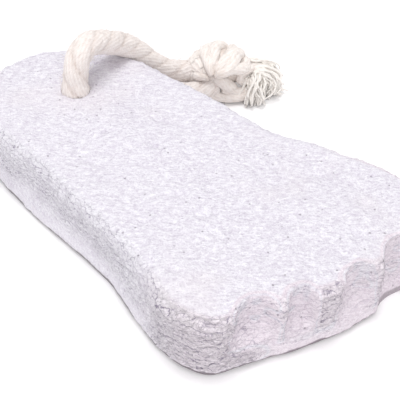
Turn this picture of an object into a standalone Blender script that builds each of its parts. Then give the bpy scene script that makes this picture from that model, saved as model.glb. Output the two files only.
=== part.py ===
"""Foot-shaped block of white pumice with a twisted cotton rope tied through its heel.

Metres, +Z up, lying on z = 0. The toes point to -Y, the heel to +Y, the big toe is at +X and
the hole for the rope stands near x = 0. All sizes below are in millimetres.
"""
import math

import bpy
import numpy as np

MM = 0.001

# ---- the stone ------------------------------------------------------------------------------
THICKNESS = 17.0
TOP_ROUNDING = 4.0          # radius of the worn upper edge
FOOT_ROUNDING = 0.8         # radius of the lower edge
# Outline at the foot of the walls, from the heel round by the little toe: x, y, and how far
# the upper edge leans in over that point.
OUTLINE = [
    (-1.5, 56.5, 0.0), (-13.0, 53.2, 0.0), (-21.0, 45.0, 0.0), (-24.6, 33.0, 0.3),
    (-26.5, 19.0, 1.6), (-27.3, 5.0, 0.6), (-29.0, -9.0, 0.3), (-32.6, -23.0, 0.5),
    (-34.6, -34.0, -0.5), (-32.4, -42.2, 0.0), (-24.0, -46.4, 0.0), (-14.0, -51.4, 0.0),
    (-3.0, -55.5, 0.0), (8.0, -57.4, 0.0), (22.0, -58.6, 0.0), (30.2, -55.0, 0.0),
    (33.2, -47.0, 0.0), (32.4, -36.0, 0.3), (28.8, -22.0, 0.6), (25.4, -8.0, 0.5),
    (25.2, 6.0, 0.3), (24.3, 20.0, 0.2), (22.7, 34.0, 0.0), (17.6, 46.5, 0.0), (9.0, 53.8, 0.0),
]
HEEL_LEFT, TOE_LEFT, TOE_RIGHT, HEEL_RIGHT = 2, 9, 15, 23   # outline points at its corners
ACROSS, ALONG = 37, 43      # cells over the width and over the length
# The scoops that part the toes, from the little toe: centre x and y, radius, the share of the
# height at which each is half run out, and the share over which it does so, up and down.
SCOOPS = [(-24.2, -48.3, 5.6, 0.46, 0.06), (-14.2, -51.2, 3.6, 0.43, 0.08),
          (-0.8, -58.0, 5.5, 0.37, 0.08), (12.6, -60.6, 6.6, 0.00, 0.35)]
RIM_WEAR = 0.8              # width over which a scoop's rim is worn round

LUMP_COUNT, LUMP_HEIGHT = 14, 0.07
LUMP_WAVES = (9.0, 26.0)    # shortest and longest distance between lumps
TOP_PITS, WALL_PITS = 90, 46
PIT_RADIUS = (1.3, 2.3)
PIT_DEPTH = (0.25, 0.6)
SEED = 11

# ---- the hole, and the channel that takes the rope out under the heel -------------------------
HOLE_X, HOLE_Y, HOLE_RADIUS = 0.7, 34.0, 3.6
CHANNEL_RADIUS, CHANNEL_AXIS_Z, CHANNEL_LENGTH = 4.3, 1.9, 40.0
CHANNEL_HEADING = math.radians(-5.6)

# ---- the rope ---------------------------------------------------------------------------------
ROPE_DIAMETER = 6.5
ROPE_STEP = 2.4             # spacing of the tube's points
# From the knot up over the edge of the heel, down the hole and back to the knot underneath.
ROPE_ROUTE = [
    (37.4, 30.6, 7.8), (35.4, 32.1, 8.1), (33.0, 33.6, 9.3), (30.2, 35.0, 11.3),
    (27.4, 36.2, 14.2), (24.5, 36.8, 17.3), (20.7, 36.9, 20.4), (16.9, 36.7, 22.7),
    (12.9, 36.2, 24.9), (9.1, 35.8, 26.6), (5.7, 35.2, 27.3), (3.1, 34.7, 26.1),
    (1.5, 34.3, 23.3), (0.8, 34.0, 19.6), (0.7, 34.0, 14.0), (0.9, 34.0, 9.0),
    (2.0, 33.9, 5.4), (5.2, 33.7, 3.4), (10.5, 33.3, 3.05), (17.0, 32.6, 3.05),
    (24.0, 31.0, 3.1), (29.5, 28.6, 3.5), (34.0, 25.6, 3.7), (37.0, 24.0, 3.7),
]
PRESSED = 0.84              # the rope's width where the stone presses on it
PRESSED_BELOW, FREE_ABOVE = 5.0, 9.0
PRESSED_WITHIN_X = 26.0

KNOT_CENTRE = (46.2, 24.2, 7.3)
KNOT_HALF = (7.8, 8.6, 6.9)   # along the rope, across it, and in height
KNOT_HEADING = math.radians(-27.0)
KNOT_WRAPS, KNOT_WRAP_DEPTH = 3, 0.10
KNOT_ROWS, KNOT_SEGMENTS = 16, 28

# Frayed ends: base point, tip point, half width and half height at the base and at the tip.
TAIL_SIDE = ((53.0, 19.8, 5.4), (60.8, 13.8, 4.2), (4.8, 4.4), (6.6, 3.8))
TAIL_FRONT = ((49.8, 17.2, 3.8), (47.2, 9.6, 1.7), (2.7, 2.4), (3.7, 1.5))
TAIL_ROWS, TAIL_SEGMENTS = 8, 20


def clear_scene():
    for old in list(bpy.data.objects):
        bpy.data.objects.remove(old, do_unlink=True)


def material(name, colour, roughness):
    made = bpy.data.materials.new(name)
    made.use_nodes = True
    surface = made.node_tree.nodes["Principled BSDF"]
    surface.inputs["Base Color"].default_value = (*colour, 1.0)
    surface.inputs["Roughness"].default_value = roughness
    surface.inputs["Metallic"].default_value = 0.0
    return made


def mesh_object(name, points, faces, finish=None):
    """A mesh object from points in millimetres."""
    mesh = bpy.data.meshes.new(name)
    mesh.from_pydata((np.asarray(points) * MM).tolist(), [], faces)
    mesh.update()
    made = bpy.data.objects.new(name, mesh)
    bpy.context.scene.collection.objects.link(made)
    if finish is None:
        made.hide_render = True
        made.display_type = "WIRE"
    else:
        mesh.materials.append(finish)
        mesh.shade_smooth()
    return made


def smoothstep(low, high, value):
    t = np.clip((value - low) / (high - low), 0.0, 1.0)
    return t * t * (3.0 - 2.0 * t)


def smooth_curve(points, closed=False, per_span=40):
    """A smooth curve through all the points: cubic spans whose tangents at a point follow
    the distances to its two neighbours. Returns the samples, per_span to each span."""
    p = np.asarray(points, float)
    if closed:
        p = np.vstack([p[-1:], p, p[:2]])
    else:
        p = np.vstack([2 * p[0] - p[1], p, 2 * p[-1] - p[-2]])
    gaps = np.linalg.norm(np.diff(p, axis=0), axis=1)[:, None]
    slope = np.diff(p, axis=0) / gaps
    tangent = (slope[:-1] * gaps[1:] + slope[1:] * gaps[:-1]) / (gaps[1:] + gaps[:-1])
    start, end, gap = p[1:-2], p[2:-1], gaps[1:-1]
    t = np.linspace(0.0, 1.0, per_span, endpoint=False)[None, :, None]
    spans = (start[:, None] * (2 * t**3 - 3 * t**2 + 1) + end[:, None] * (3 * t**2 - 2 * t**3)
             + tangent[:-1, None] * gap[:, None] * (t**3 - 2 * t**2 + t)
             + tangent[1:, None] * gap[:, None] * (t**3 - t**2))
    samples = spans.reshape(-1, p.shape[1])
    return samples if closed else np.vstack([samples, p[-2]])


def spread_evenly(samples, count):
    """count + 1 points at equal distances along the samples, both ends included."""
    step = np.linalg.norm(np.diff(samples[:, :2], axis=0), axis=1)
    run = np.concatenate([[0.0], np.cumsum(step)])
    at = np.linspace(0.0, run[-1], count + 1)
    return np.stack([np.interp(at, run, column) for column in samples.T], axis=1)


# ---- the stone --------------------------------------------------------------------------------

def outline_ring():
    """The outline as ACROSS and ALONG evenly spaced points to its four sides: places, outward
    directions, lean of the upper edge, and the depth, foot and fade of the scoops there."""
    span = 40
    samples = smooth_curve(OUTLINE, closed=True, per_span=span)
    ahead, behind = np.roll(samples, -1, axis=0), np.roll(samples, 1, axis=0)
    tangent = (ahead - behind)[:, :2]
    tangent /= np.linalg.norm(tangent, axis=1)[:, None]
    table = np.hstack([samples, tangent[:, 1:], -tangent[:, :1]])
    twice = np.vstack([table, table])
    corners = (HEEL_LEFT, TOE_LEFT, TOE_RIGHT, HEEL_RIGHT, HEEL_LEFT + len(OUTLINE))
    counts = (ALONG, ACROSS, ALONG, ACROSS)
    sides = [spread_evenly(twice[a * span:b * span + 1], n)[:-1]
             for a, b, n in zip(corners, corners[1:], counts)]
    ring = np.vstack(sides)
    place, outward = ring[:, :2], ring[:, 3:5]
    outward = outward / np.linalg.norm(outward, axis=1)[:, None]
    return (place, outward, ring[:, 2], *scoop_depth(place, outward))


def scoop_depth(place, outward):
    """How far a point must move straight in to come out of the nearest scoop, below 0 beside
    it and -1 far away, and the shares of the height that tell where that scoop runs out."""
    depth, foot, fade = np.full(len(place), -1.0), np.zeros(len(place)), np.ones(len(place))
    for x, y, radius, runs_out, over in SCOOPS:
        away = place - (x, y)
        along = (away * outward).sum(axis=1)
        distance = np.linalg.norm(away, axis=1)
        reach = along + np.sqrt(np.clip(radius**2 - distance**2 + along**2, 0, None))
        reach = np.where(distance < 1.4 * radius, reach, -1.0)
        foot = np.where(reach > depth, runs_out, foot)
        fade = np.where(reach > depth, over, fade)
        depth = np.maximum(depth, reach)
    return depth, foot, fade


def wall_levels():
    """Inset and height of each row of points, from the flat underside up to the flat top."""
    low = [math.radians(a) for a in (0, 45, 90)]
    high = [math.radians(a) for a in (0, 22.5, 45, 67.5, 90)]
    foot = [(FOOT_ROUNDING * (1 - math.sin(a)), FOOT_ROUNDING * (1 - math.cos(a))) for a in low]
    head = [(TOP_ROUNDING * (1 - math.cos(a)), THICKNESS - TOP_ROUNDING * (1 - math.sin(a)))
            for a in high]
    wall = [(0.0, z) for z in np.linspace(FOOT_ROUNDING, THICKNESS - TOP_ROUNDING, 6)[1:-1]]
    return foot + wall + head


def wall_row(ring, inset, z):
    """One row of points round the stone: the outline moved in by the lean of the wall and by
    the rounding of the edge or a scoop between the toes, whichever goes deeper, with the rim
    between the two worn round."""
    place, outward, lean, scoop, foot, fade = ring
    share = z / THICKNESS
    reach = smoothstep(foot - fade, foot + fade, share)
    cut = (scoop + 1) * reach - 1
    worn = np.clip(1 - np.abs(cut - inset) / RIM_WEAR, 0, 1)**2 * RIM_WEAR / 4
    moved = np.maximum(cut, inset) + worn + lean * smoothstep(0.25, 0.9, share)
    return np.column_stack([place - outward * moved[:, None], np.full(len(place), z)])


def patch(row):
    """The area inside a row of points, as a grid in which each side of the row is blended
    with the opposite one (a Coons patch)."""
    left, toe = row[:ALONG + 1], row[ALONG:ALONG + ACROSS + 1]
    right = row[ALONG + ACROSS:2 * ALONG + ACROSS + 1][::-1]
    heel = np.vstack([row[2 * ALONG + ACROSS:], row[:1]])[::-1]
    t = np.linspace(0, 1, ALONG + 1)[:, None, None]
    s = np.linspace(0, 1, ACROSS + 1)[None, :, None]
    blended = (1 - s) * left[:, None] + s * right[:, None] + (1 - t) * heel[None] + t * toe[None]
    return blended - ((1 - s) * (1 - t) * left[0] + s * (1 - t) * right[0]
                      + (1 - s) * t * left[-1] + s * t * right[-1])


def stone_grid():
    """Points and faces of the closed block, before its lumps, pits and hole."""
    ring = outline_ring()
    rows = [wall_row(ring, inset, z) for inset, z in wall_levels()]
    around = len(rows[0])
    points = np.vstack(rows + [patch(rows[-1])[1:-1, 1:-1].reshape(-1, 3)])
    step = np.arange(around)
    after = np.roll(step, -1)
    faces = [np.column_stack([k * around + step, k * around + after,
                              (k + 1) * around + after, (k + 1) * around + step])
             for k in range(len(rows) - 1)]
    index = np.empty((ALONG + 1, ACROSS + 1), int)
    last = (len(rows) - 1) * around
    index[:, 0] = last + step[:ALONG + 1]
    index[-1, :] = last + step[ALONG:ALONG + ACROSS + 1]
    index[::-1, -1] = last + step[ALONG + ACROSS:2 * ALONG + ACROSS + 1]
    index[0, 1:] = last + step[2 * ALONG + ACROSS:][::-1]
    inner = (ALONG - 1) * (ACROSS - 1)
    index[1:-1, 1:-1] = (last + around + np.arange(inner)).reshape(ALONG - 1, ACROSS - 1)
    faces.append(np.stack([index[:-1, :-1], index[1:, :-1], index[1:, 1:], index[:-1, 1:]],
                          axis=-1).reshape(-1, 4))
    underside = [step[::-1].tolist()]
    return points, np.vstack(faces).tolist() + underside


def lumps(points):
    """Low swellings: a few plane waves in random directions, added up."""
    rng = np.random.RandomState(SEED)
    aim = rng.normal(size=(LUMP_COUNT, 3))
    aim /= np.linalg.norm(aim, axis=1)[:, None]
    length = rng.uniform(*LUMP_WAVES, LUMP_COUNT)
    phase = rng.uniform(0, 2 * math.pi, LUMP_COUNT)
    return LUMP_HEIGHT * np.sin(2 * math.pi * (points @ aim.T) / length + phase).sum(axis=1)


def pits(points):
    """Shallow round pits at random places on the top and round the walls."""
    rng = np.random.RandomState(SEED + 1)
    low, high = points.min(axis=0), points.max(axis=0)
    top = np.column_stack([rng.uniform(low[:2], high[:2], (TOP_PITS, 2)),
                           np.full(TOP_PITS, THICKNESS)])
    outline = smooth_curve(OUTLINE, closed=True)[:, :2]
    wall = np.column_stack([outline[rng.randint(0, len(outline), WALL_PITS)],
                            rng.uniform(4.0, THICKNESS - 3.0, WALL_PITS)])
    centres = np.vstack([top, wall])
    radius = rng.uniform(*PIT_RADIUS, len(centres))
    depth = rng.uniform(*PIT_DEPTH, len(centres))
    gap = np.linalg.norm(points[:, None] - centres[None], axis=2) / radius
    return (depth * np.clip(1 - gap**2, 0, 1)**2).max(axis=1)


def lathe(name, profile, segments=36):
    """A closed solid turned about the Z axis from (radius, z) pairs, lowest first."""
    angle = np.linspace(0, 2 * math.pi, segments, endpoint=False)
    points = np.vstack([np.column_stack([r * np.cos(angle), r * np.sin(angle),
                                         np.full(segments, z)]) for r, z in profile])
    step, after = np.arange(segments), np.roll(np.arange(segments), -1)
    faces = [list(quad) for k in range(len(profile) - 1)
             for quad in zip(k * segments + step, k * segments + after,
                             (k + 1) * segments + after, (k + 1) * segments + step)]
    top = (len(profile) - 1) * segments
    faces += [step[::-1].tolist(), (top + step).tolist()]
    return mesh_object(name, points, [[int(i) for i in face] for face in faces])


def make_stone():
    stone = mesh_object("pumice_stone", *stone_grid(),
                        finish=material("pumice", (0.86, 0.84, 0.87), 0.95))
    count = len(stone.data.vertices)
    place, normal = np.empty(count * 3), np.empty(count * 3)
    stone.data.vertices.foreach_get("co", place)
    stone.data.vertices.foreach_get("normal", normal)
    points = place.reshape(-1, 3) / MM
    above_foot = smoothstep(1.2, 4.0, points[:, 2])
    rise = (lumps(points) - pits(points)) * above_foot
    moved = points + normal.reshape(-1, 3) * rise[:, None]
    stone.data.vertices.foreach_set("co", (moved * MM).ravel())
    stone.data.update()

    hole = lathe("hole_cutter", [
        (HOLE_RADIUS + 2.6, -3.0), (HOLE_RADIUS + 2.4, 3.0), (HOLE_RADIUS + 1.9, 6.0),
        (HOLE_RADIUS, 11.0), (HOLE_RADIUS, THICKNESS - 1.2), (HOLE_RADIUS + 0.3, THICKNESS),
        (HOLE_RADIUS + 0.8, THICKNESS + 2.0)])
    hole.location = (HOLE_X * MM, HOLE_Y * MM, 0)
    channel = lathe("channel_cutter", [(CHANNEL_RADIUS, 0.0), (CHANNEL_RADIUS, CHANNEL_LENGTH)])
    channel.location = (HOLE_X * MM, HOLE_Y * MM, CHANNEL_AXIS_Z * MM)
    channel.rotation_euler = (0, math.pi / 2, CHANNEL_HEADING)
    for cutter in (hole, channel):
        cutter.parent = stone
        cut = stone.modifiers.new(cutter.name, "BOOLEAN")
        cut.operation = "DIFFERENCE"
        cut.solver = "EXACT"
        cut.object = cutter
    return stone


# ---- the rope ---------------------------------------------------------------------------------

def make_rope(cotton):
    """The loop from knot to knot, thinner where it is pressed in the channel."""
    samples = smooth_curve(ROPE_ROUTE)
    run = np.concatenate([[0.0], np.cumsum(np.linalg.norm(np.diff(samples, axis=0), axis=1))])
    count = int(round(run[-1] / ROPE_STEP))
    at = np.linspace(0.0, run[-1], count + 1)
    centre = np.stack([np.interp(at, run, column) for column in samples.T], axis=1)
    under = (1 - smoothstep(PRESSED_BELOW, FREE_ABOVE, centre[:, 2])) \
        * (1 - smoothstep(PRESSED_WITHIN_X, PRESSED_WITHIN_X + 6.0, centre[:, 0]))
    thickness = 1 - (1 - PRESSED) * under
    curve = bpy.data.curves.new("rope", "CURVE")
    curve.dimensions = "3D"
    curve.bevel_depth = ROPE_DIAMETER / 2 * MM
    curve.bevel_resolution = 2
    curve.use_fill_caps = True
    spline = curve.splines.new("POLY")
    spline.points.add(count)
    for point, place, width in zip(spline.points, centre * MM, thickness):
        point.co = (*place, 1.0)
        point.radius = width
    curve.materials.append(cotton)
    made = bpy.data.objects.new("rope", curve)
    bpy.context.scene.collection.objects.link(made)
    return made


def ring_faces(rows, segments):
    """Faces of a closed skin: two poles, and rows of points between them."""
    step, after = np.arange(segments), np.roll(np.arange(segments), -1)
    faces = [(0, int(1 + a), int(1 + b)) for a, b in zip(after, step)]
    for k in range(rows - 1):
        low, high = 1 + k * segments, 1 + (k + 1) * segments
        faces += [(int(low + a), int(low + b), int(high + b), int(high + a))
                  for a, b in zip(step, after)]
    top, pole = 1 + (rows - 1) * segments, 1 + rows * segments
    faces += [(int(top + a), int(top + b), pole) for a, b in zip(step, after)]
    return faces


def make_knot(cotton):
    """A drawn-up overhand knot: an egg-shaped lump with the rope's turns wrapped round it."""
    tilt = np.linspace(0, math.pi, KNOT_ROWS + 2)[1:-1, None]
    turn = np.linspace(0, 2 * math.pi, KNOT_SEGMENTS, endpoint=False)[None]
    swell = 1 - KNOT_WRAP_DEPTH * (0.5 + 0.5 * np.cos(KNOT_WRAPS * turn + 2.2 * tilt)) \
        * np.sin(tilt)**2
    unit = np.stack([-np.cos(tilt) * np.ones_like(turn), np.sin(tilt) * np.cos(turn) * swell,
                     np.sin(tilt) * np.sin(turn) * swell], axis=-1).reshape(-1, 3)
    unit = np.vstack([[-1, 0, 0], unit, [1, 0, 0]]) * KNOT_HALF
    c, s = math.cos(KNOT_HEADING), math.sin(KNOT_HEADING)
    place = unit @ np.array([[c, s, 0], [-s, c, 0], [0, 0, 1]]) + KNOT_CENTRE
    return mesh_object("rope_knot", place, ring_faces(KNOT_ROWS, KNOT_SEGMENTS), cotton)


def make_tail(name, shape, cotton):
    """A frayed end: a flattened tuft, rounded at both ends, that widens towards its tips."""
    base, tip, base_half, tip_half = (np.array(value, float) for value in shape)
    aim = (tip - base) / np.linalg.norm(tip - base)
    side = np.cross((0, 0, 1), aim)
    side /= np.linalg.norm(side)
    up = np.cross(aim, side)
    share = 0.5 - 0.5 * np.cos(np.linspace(0, math.pi, TAIL_ROWS + 2)[1:-1])[:, None, None]
    half = (base_half + (tip_half - base_half) * share) * np.sqrt(1 - (2 * share - 1)**2)**0.8
    turn = np.linspace(0, 2 * math.pi, TAIL_SEGMENTS, endpoint=False)[None, :, None]
    place = base + (tip - base) * share + (side * np.cos(turn) * half[..., :1]
                                           + up * np.sin(turn) * half[..., 1:])
    points = np.vstack([[base], place.reshape(-1, 3), [tip]])
    return mesh_object(name, points, ring_faces(TAIL_ROWS, TAIL_SEGMENTS), cotton)



clear_scene()
make_stone()
COTTON = material("cotton", (0.85, 0.79, 0.72), 0.9)
make_rope(COTTON)
make_knot(material("cotton_knot", (0.84, 0.78, 0.71), 0.9))
make_tail("rope_tail_side", TAIL_SIDE, material("cotton_fray_side", (0.86, 0.81, 0.75), 0.95))
make_tail("rope_tail_front", TAIL_FRONT, material("cotton_fray_front", (0.86, 0.81, 0.75), 0.95))
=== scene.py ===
"""Foot-shaped pumice stone with a knotted cotton rope through its heel.

Lengths are in millimetres until the line that makes a mesh, which brings them to metres. The
stone lies on z = 0 with its toes to -Y and its big toe at +X.
"""
import math

import bpy
import numpy as np
from mathutils import Matrix, Vector


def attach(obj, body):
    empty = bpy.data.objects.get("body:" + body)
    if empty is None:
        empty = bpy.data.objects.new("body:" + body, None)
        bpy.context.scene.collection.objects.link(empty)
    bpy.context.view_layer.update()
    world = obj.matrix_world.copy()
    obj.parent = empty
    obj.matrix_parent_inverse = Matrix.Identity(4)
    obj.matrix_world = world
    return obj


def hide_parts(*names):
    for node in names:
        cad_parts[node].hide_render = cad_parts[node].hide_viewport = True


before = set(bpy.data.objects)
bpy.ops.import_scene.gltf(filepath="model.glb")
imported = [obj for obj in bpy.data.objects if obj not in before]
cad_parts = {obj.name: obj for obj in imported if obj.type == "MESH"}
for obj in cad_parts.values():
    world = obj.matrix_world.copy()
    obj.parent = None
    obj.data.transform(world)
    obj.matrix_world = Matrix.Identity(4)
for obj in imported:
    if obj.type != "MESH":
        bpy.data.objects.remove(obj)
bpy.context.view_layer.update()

# ---- The eye ----------------------------------------------------------------------------------
# A long lens above the little toe's corner, looking over the sole towards the rope, with the
# head tipped a few degrees to one side.
EYE = (-0.12267, -0.11178, 0.15146)
EYE_AZIMUTH, EYE_ELEVATION, EYE_ROLL = (math.radians(a) for a in (-50.38, 42.0, 4.0))

lens = bpy.data.cameras.new("eye")
lens.sensor_width, lens.lens = 36.0, 81.0
lens.clip_start, lens.clip_end = 0.01, 20.0
eye = bpy.data.objects.new("eye", lens)
bpy.context.scene.collection.objects.link(eye)
sin_a, cos_a = math.sin(EYE_AZIMUTH), math.cos(EYE_AZIMUTH)
sin_e, cos_e = math.sin(EYE_ELEVATION), math.cos(EYE_ELEVATION)
to_eye = Vector((sin_a * cos_e, -cos_a * cos_e, sin_e))
across = Vector((cos_a, sin_a, 0.0))
upward = to_eye.cross(across)
turned_across = across * math.cos(EYE_ROLL) + upward * math.sin(EYE_ROLL)
turned_upward = upward * math.cos(EYE_ROLL) - across * math.sin(EYE_ROLL)
eye.matrix_world = Matrix.Translation(EYE) @ Matrix(
    (turned_across, turned_upward, to_eye)).transposed().to_4x4()
bpy.context.scene.camera = eye


# ---- The stone --------------------------------------------------------------------------------
# One sawn and tumbled block of pale pumice in the outline of a foot. Its top is flat and its
# upper edge worn round; the grooves between the toes are scooped in by a grinding wheel.
MM = 0.001
THICKNESS, TOP_ROUNDING, FOOT_ROUNDING = 17.0, 4.0, 0.8
# Outline at the foot of the walls, from the heel round by the little toe: x, y, and how far
# the upper edge leans in over that point.
OUTLINE = [
    (-1.5, 56.5, 0.0), (-13.0, 53.2, 0.0), (-21.0, 45.0, 0.0), (-24.6, 33.0, 0.3),
    (-26.5, 19.0, 1.6), (-27.3, 5.0, 0.6), (-29.0, -9.0, 0.3), (-32.6, -23.0, 0.5),
    (-34.6, -34.0, -0.5), (-32.4, -42.2, 0.0), (-24.0, -46.4, 0.0), (-14.0, -51.4, 0.0),
    (-3.0, -55.5, 0.0), (8.0, -57.4, 0.0), (22.0, -58.6, 0.0), (30.2, -55.0, 0.0),
    (33.2, -47.0, 0.0), (32.4, -36.0, 0.3), (28.8, -22.0, 0.6), (25.4, -8.0, 0.5),
    (25.2, 6.0, 0.3), (24.3, 20.0, 0.2), (22.7, 34.0, 0.0), (17.6, 46.5, 0.0), (9.0, 53.8, 0.0),
]
STONE_CORNERS = (2, 9, 15, 23)      # outline points at the heel's and the toes' corners
ACROSS, ALONG = 150, 250            # cells over the width and over the length
# The scoops that part the toes, from the little toe: centre x and y, radius, the share of the
# height at which each is half run out, and the share over which it does so, up and down.
SCOOPS = [(-24.2, -48.3, 5.6, 0.42, 0.26), (-14.2, -51.2, 3.6, 0.40, 0.26),
          (-0.8, -58.0, 5.5, 0.36, 0.26), (12.6, -60.6, 6.6, 0.00, 0.35)]
RIM_WEAR = 0.8
WALL_ROWS, RIM_ROWS = 32, 13        # rows up the plain wall and round the upper edge
LITTLE_TOE = (-31.0, -39.5)         # the corner where the skin is roughest
CRUMB, CLOD, LEDGE = 1.3, 2.6, 1.55     # sizes of crumbs and clods, and height of a ledge
TOP_ROUGHNESS = 0.38
WAVES, TOP_PITS, WALL_PITS = 14, 90, 46     # waves of the low swellings, and round pits
HOLE_X, HOLE_Y, HOLE_RADIUS = 0.7, 34.0, 3.6
CHANNEL_RADIUS, CHANNEL_AXIS_Z, CHANNEL_LENGTH = 4.3, 1.9, 40.0
CHANNEL_HEADING = math.radians(-5.6)
STONE_SEED = 11


def put_mesh(name, points, faces, finish=None):
    """An object at the origin whose mesh has these points, given in millimetres, and faces,
    an array with one row of point numbers per face or a list of such arrays."""
    mesh = bpy.data.meshes.new(name)
    rows = faces if isinstance(faces, list) else [faces]
    mesh.from_pydata((np.asarray(points) * MM).tolist(), [],
                     [face for group in rows for face in np.asarray(group).tolist()])
    mesh.update()
    made = bpy.data.objects.new(name, mesh)
    bpy.context.scene.collection.objects.link(made)
    if finish is not None:
        mesh.materials.append(finish)
        mesh.shade_smooth()
    return made


def ease(low, high, value):
    """0 below low, 1 above high, and 3t^2 - 2t^3 of the share t of the way between."""
    t = np.clip((value - low) / (high - low), 0.0, 1.0)
    return t * t * (3.0 - 2.0 * t)


def smooth_curve(points, closed=False, per_span=40):
    """Cubic Hermite spans through the points. The tangent at a point is the mean of the
    slopes on its two sides, each weighted by the length of the other side."""
    p = np.asarray(points, float)
    if closed:
        p = np.vstack([p[-1:], p, p[:2]])
    else:
        p = np.vstack([2 * p[0] - p[1], p, 2 * p[-1] - p[-2]])
    gaps = np.linalg.norm(np.diff(p, axis=0), axis=1)[:, None]
    slope = np.diff(p, axis=0) / gaps
    tangent = (slope[:-1] * gaps[1:] + slope[1:] * gaps[:-1]) / (gaps[1:] + gaps[:-1])
    start, end, gap = p[1:-2], p[2:-1], gaps[1:-1]
    t = np.linspace(0.0, 1.0, per_span, endpoint=False)[None, :, None]
    spans = (start[:, None] * (2 * t**3 - 3 * t**2 + 1) + end[:, None] * (3 * t**2 - 2 * t**3)
             + tangent[:-1, None] * gap[:, None] * (t**3 - 2 * t**2 + t)
             + tangent[1:, None] * gap[:, None] * (t**3 - t**2))
    samples = spans.reshape(-1, p.shape[1])
    return samples if closed else np.vstack([samples, p[-2]])


def spread_evenly(samples, count, measured=2):
    """count + 1 points at equal distances along the samples, both ends included; distance is
    measured over the first few columns and the rest are carried along."""
    step = np.linalg.norm(np.diff(samples[:, :measured], axis=0), axis=1)
    run = np.concatenate([[0.0], np.cumsum(step)])
    at = np.linspace(0.0, run[-1], count + 1)
    return np.stack([np.interp(at, run, column) for column in samples.T], axis=1)


def scoop_depth(place, outward):
    """How far each outline point moves straight in to come out of the nearest scoop, from the
    far root of |place - outward * d - centre| = radius; below 0 beside it and -1 far away.
    With it, the shares of the height that tell where that scoop runs out."""
    depth, foot, fade = np.full(len(place), -1.0), np.zeros(len(place)), np.ones(len(place))
    for x, y, radius, runs_out, over in SCOOPS:
        away = place - (x, y)
        along = (away * outward).sum(axis=1)
        distance = np.linalg.norm(away, axis=1)
        reach = along + np.sqrt(np.clip(radius**2 - distance**2 + along**2, 0, None))
        reach = np.where(distance < 1.4 * radius, reach, -1.0)
        foot = np.where(reach > depth, runs_out, foot)
        fade = np.where(reach > depth, over, fade)
        depth = np.maximum(depth, reach)
    return depth, foot, fade


def outline_ring():
    """The outline as ACROSS and ALONG evenly spaced points to its four sides, with each
    point's outward direction, lean, and the depth, foot and fade of the scoop there."""
    span = 40
    samples = smooth_curve(OUTLINE, closed=True, per_span=span)
    tangent = (np.roll(samples, -1, axis=0) - np.roll(samples, 1, axis=0))[:, :2]
    tangent /= np.linalg.norm(tangent, axis=1)[:, None]
    table = np.hstack([samples, tangent[:, 1:], -tangent[:, :1]])
    twice = np.vstack([table, table])
    ends = STONE_CORNERS + (STONE_CORNERS[0] + len(OUTLINE),)
    sides = [spread_evenly(twice[a * span:b * span + 1], n)[:-1]
             for a, b, n in zip(ends, ends[1:], (ALONG, ACROSS, ALONG, ACROSS))]
    ring = np.vstack(sides)
    outward = ring[:, 3:5] / np.linalg.norm(ring[:, 3:5], axis=1)[:, None]
    return (ring[:, :2], outward, ring[:, 2], *scoop_depth(ring[:, :2], outward))


def wall_row(ring, inset, z):
    """One row of points round the stone: the outline moved in by the lean of the wall and by
    the rounding of the edge or a scoop, whichever goes deeper. Where the two are within
    RIM_WEAR of each other their greater value rises by a square, which wears the rim round."""
    place, outward, lean, scoop, foot, fade = ring
    share = z / THICKNESS
    reach = ease(foot - fade, foot + fade, share)
    cut = (scoop + 1) * reach - 1
    worn = np.clip(1 - np.abs(cut - inset) / RIM_WEAR, 0, 1)**2 * RIM_WEAR / 4
    moved = np.maximum(cut, inset) + worn + lean * ease(0.25, 0.9, share)
    return np.column_stack([place - outward * moved[:, None], np.full(len(place), z)])


def filled(row):
    """The area inside a row of points, as a Coons patch: the two blends of opposite sides
    added, less the blend of the four corners."""
    left, toe = row[:ALONG + 1], row[ALONG:ALONG + ACROSS + 1]
    right = row[ALONG + ACROSS:2 * ALONG + ACROSS + 1][::-1]
    heel = np.vstack([row[2 * ALONG + ACROSS:], row[:1]])[::-1]
    t = np.linspace(0, 1, ALONG + 1)[:, None, None]
    s = np.linspace(0, 1, ACROSS + 1)[None, :, None]
    blended = (1 - s) * left[:, None] + s * right[:, None] + (1 - t) * heel[None] + t * toe[None]
    return blended - ((1 - s) * (1 - t) * left[0] + s * (1 - t) * right[0]
                      + (1 - s) * t * left[-1] + s * t * right[-1])


def filled_faces(edge, inside):
    """Faces of a filled area, from the number of its edge's first point and of the first of
    its inner points."""
    step = edge + np.arange(2 * (ALONG + ACROSS))
    index = np.empty((ALONG + 1, ACROSS + 1), int)
    index[:, 0] = step[:ALONG + 1]
    index[-1, :] = step[ALONG:ALONG + ACROSS + 1]
    index[::-1, -1] = step[ALONG + ACROSS:2 * ALONG + ACROSS + 1]
    index[0, 1:] = step[2 * ALONG + ACROSS:][::-1]
    index[1:-1, 1:-1] = inside + np.arange((ALONG - 1) * (ACROSS - 1)).reshape(ALONG - 1, -1)
    return np.stack([index[:-1, :-1], index[1:, :-1], index[1:, 1:], index[:-1, 1:]],
                    axis=-1).reshape(-1, 4)


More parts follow.
